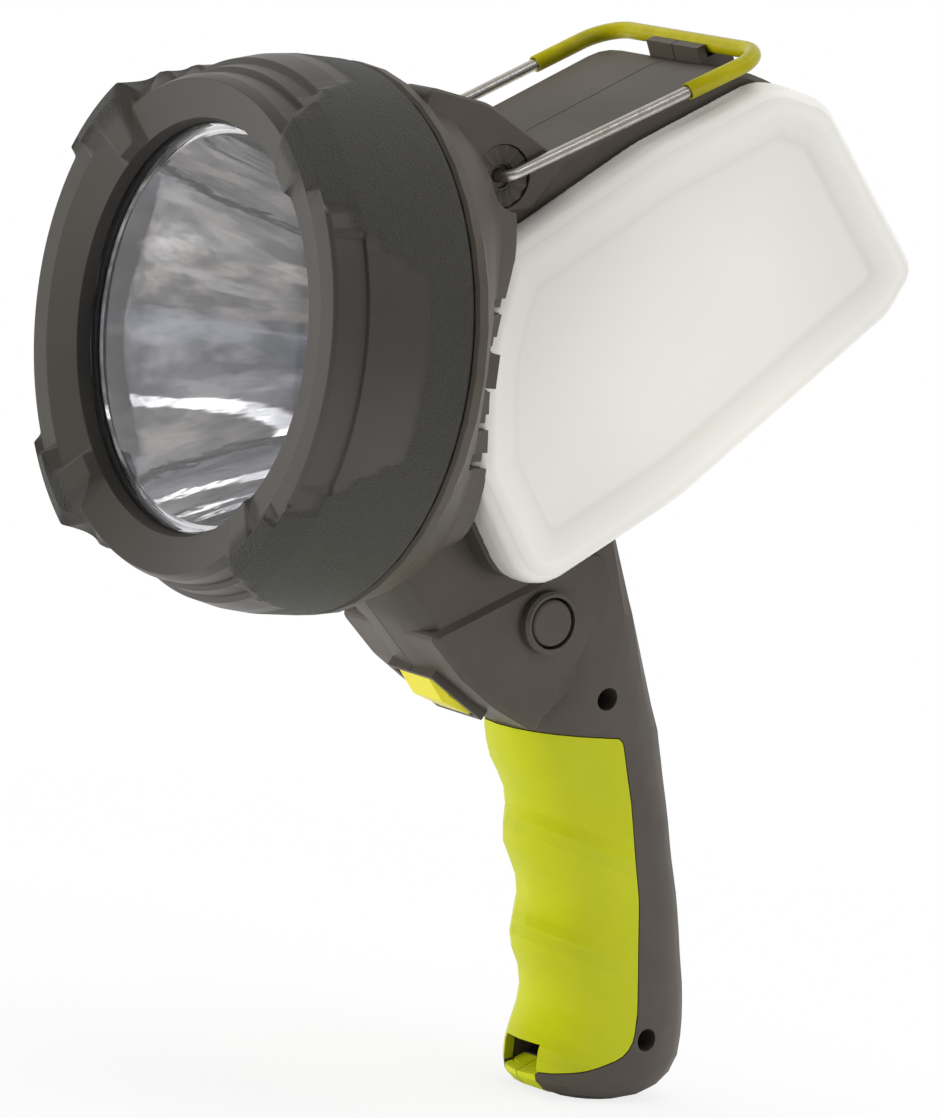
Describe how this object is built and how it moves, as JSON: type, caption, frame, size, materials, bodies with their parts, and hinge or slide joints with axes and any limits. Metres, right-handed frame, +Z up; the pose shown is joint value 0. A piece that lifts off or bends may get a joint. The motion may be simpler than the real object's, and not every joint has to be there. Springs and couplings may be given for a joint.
{
  "type": "handheld searchlight",
  "caption": "Handheld pistol-grip searchlight with a large round front lens, a milky area lantern on each flank, a folding wire bail and a lime finger grip.",
  "frame": {"origin": "centre of the clear lens's front face", "axes": "-Y out of the lens along the beam, +Z up, +X out of the flank with the push button"},
  "size_m": [0.1322, 0.1908, 0.2641],
  "materials": {
    "housing_grey": "fine matt texture",
    "bezel_charcoal": "grained soft-touch",
    "lime_rubber": "satin soft-touch",
    "sleeve_lime": "satin tube",
    "diffuser_white": "milky, semi-gloss",
    "lens_clear": "clear, polished",
    "reflector_mirror": "vacuum-metallised",
    "wire_steel": "drawn, bright",
    "screw_zinc": "zinc-plated",
    "seal_black": "matt",
    "sink_aluminium": "satin",
    "board_green": "solder mask",
    "board_white": "white solder mask",
    "led_phosphor": "phosphor under a clear dome",
    "cell_wrap": "shrink wrap",
    "switch_black": "satin",
    "button_grey": "satin"
  },
  "bodies": {
    "light": {"bezel": "bezel_charcoal", "lens": "lens_clear", "lens_gasket": "seal_black", "reflector": "reflector_mirror", "beam_led": "led_phosphor", "beam_led_board": "board_white", "heat_sink": "sink_aluminium", "housing_right": "housing_grey", "housing_left": "housing_grey", "diffuser_right": "diffuser_white", "diffuser_left": "diffuser_white", "lantern_board_right": "board_white", "lantern_board_left": "board_white", "grip_sleeve": "lime_rubber", "trigger_switch": "switch_black", "button_switch": "board_green", "detent_ring_right": "housing_grey", "detent_ring_left": "housing_grey", "battery_cell": "cell_wrap", "main_board": "board_green", "charge_socket": "switch_black", "handle_screw_upper": "screw_zinc", "handle_screw_lower": "screw_zinc", "lantern_screw_front": "screw_zinc", "lantern_screw_rear": "screw_zinc"},
    "bail": {"bail_wire": "wire_steel", "bail_sleeve": "sleeve_lime"},
    "trigger": {"trigger": "lime_rubber"},
    "side_button": {"side_button": "button_grey"}
  },
  "joints": [
    {"name": "bail_hinge", "type": "hinge", "parent": "light", "child": "bail", "pos_m": [0, 0.0605, 0.0437], "axis": [1, 0, 0], "range_deg": [0, 110]},
    {"name": "trigger_slide", "type": "slide", "parent": "light", "child": "trigger", "axis": [0, 0.515, 0.8572], "range_m": [0, 0.0025], "stiffness_N_per_m": 900},
    {"name": "button_slide", "type": "slide", "parent": "light", "child": "side_button", "axis": [-1, 0, 0], "range_m": [0, 0.0012], "stiffness_N_per_m": 1200}
  ]
}
